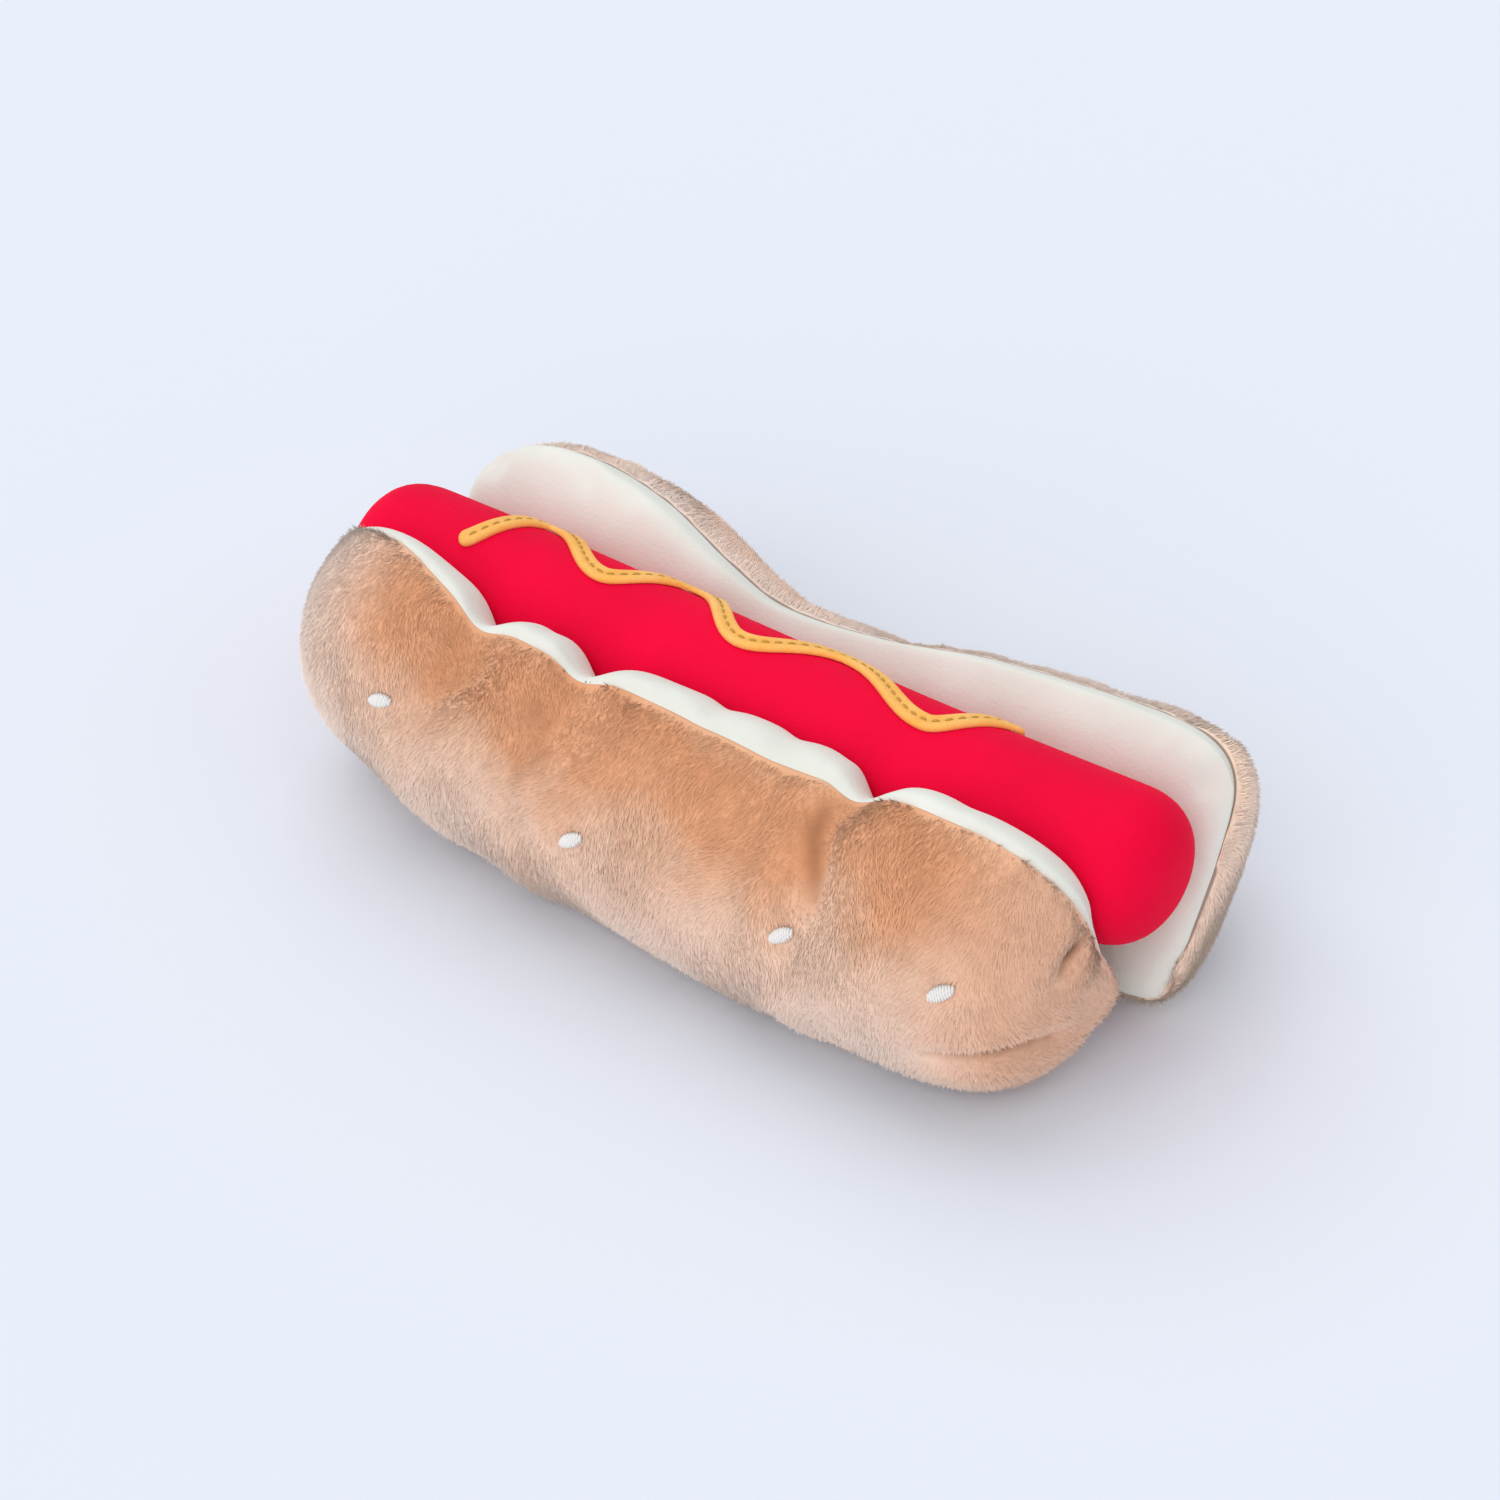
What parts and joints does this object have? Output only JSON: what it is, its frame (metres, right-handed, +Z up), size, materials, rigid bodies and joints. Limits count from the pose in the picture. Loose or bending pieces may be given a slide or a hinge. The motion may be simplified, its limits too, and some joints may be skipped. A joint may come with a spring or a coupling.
{
  "type": "squeaky dog toy",
  "caption": "Stuffed plush dog toy shaped as a sausage in a split bun, with a wavy mustard strip, sewn sesame seeds and a squeaker inside the sausage.",
  "frame": {"origin": "centre of the toy's outline seen from above, on the surface it lies on", "axes": "+X along the sausage, +Y from the tacked front half of the bun to the open back half, +Z up"},
  "size_m": [0.2054, 0.1084, 0.0594],
  "materials": {
    "plush": "short pile plush, tan fading to pinkish beige",
    "lining": "smooth matte fleece, cream",
    "sausage": "smooth close-knit fabric, bright red",
    "mustard": "matte felt, yellow orange",
    "mustard_thread": "sewing thread, dark yellow",
    "thread": "sewing thread, off-white",
    "seed": "satin embroidery thread, white",
    "stuffing": "loose polyester fibre, white",
    "bulb": "soft blown plastic, milky",
    "whistle": "moulded plastic, white"
  },
  "bodies": {
    "front_half": {"front_plush_panel": "plush", "front_lining_panel": "lining", "front_stuffing": "stuffing", "front_sesame_seed_1": "seed", "front_sesame_seed_2": "seed", "front_sesame_seed_3": "seed", "front_sesame_seed_4": "seed", "hinge_seam": "plush", "sausage_upper_panel": "sausage", "sausage_lower_panel": "sausage", "sausage_stuffing_left": "stuffing", "sausage_stuffing_right": "stuffing", "mustard_strip": "mustard", "mustard_stitching": "mustard_thread", "tack_stitch_1": "thread", "tack_stitch_2": "thread", "tack_stitch_3": "thread", "squeaker_bulb": "bulb"},
    "back_half": {"back_plush_panel": "plush", "back_lining_panel": "lining", "back_stuffing": "stuffing", "back_sesame_seed_1": "seed", "back_sesame_seed_2": "seed", "back_sesame_seed_3": "seed", "back_sesame_seed_4": "seed"},
    "squeaker_whistle": {"reed_holder": "whistle", "reed_tongue": "whistle", "reed_cap": "whistle"}
  },
  "joints": [
    {"name": "bun_hinge", "type": "hinge", "parent": "front_half", "child": "back_half", "pos_m": [0, -0.00122, 0.003], "axis": [-1, 0, 0], "range_deg": [0, 20], "stiffness_Nm_per_rad": 0.1, "springref_deg": -5.73},
    {"name": "squeaker_press", "type": "slide", "parent": "front_half", "child": "squeaker_whistle", "axis": [0, 0, -1], "range_m": [0, 0.006], "stiffness_N_per_m": 60, "deforming": ["squeaker_bulb"]}
  ]
}
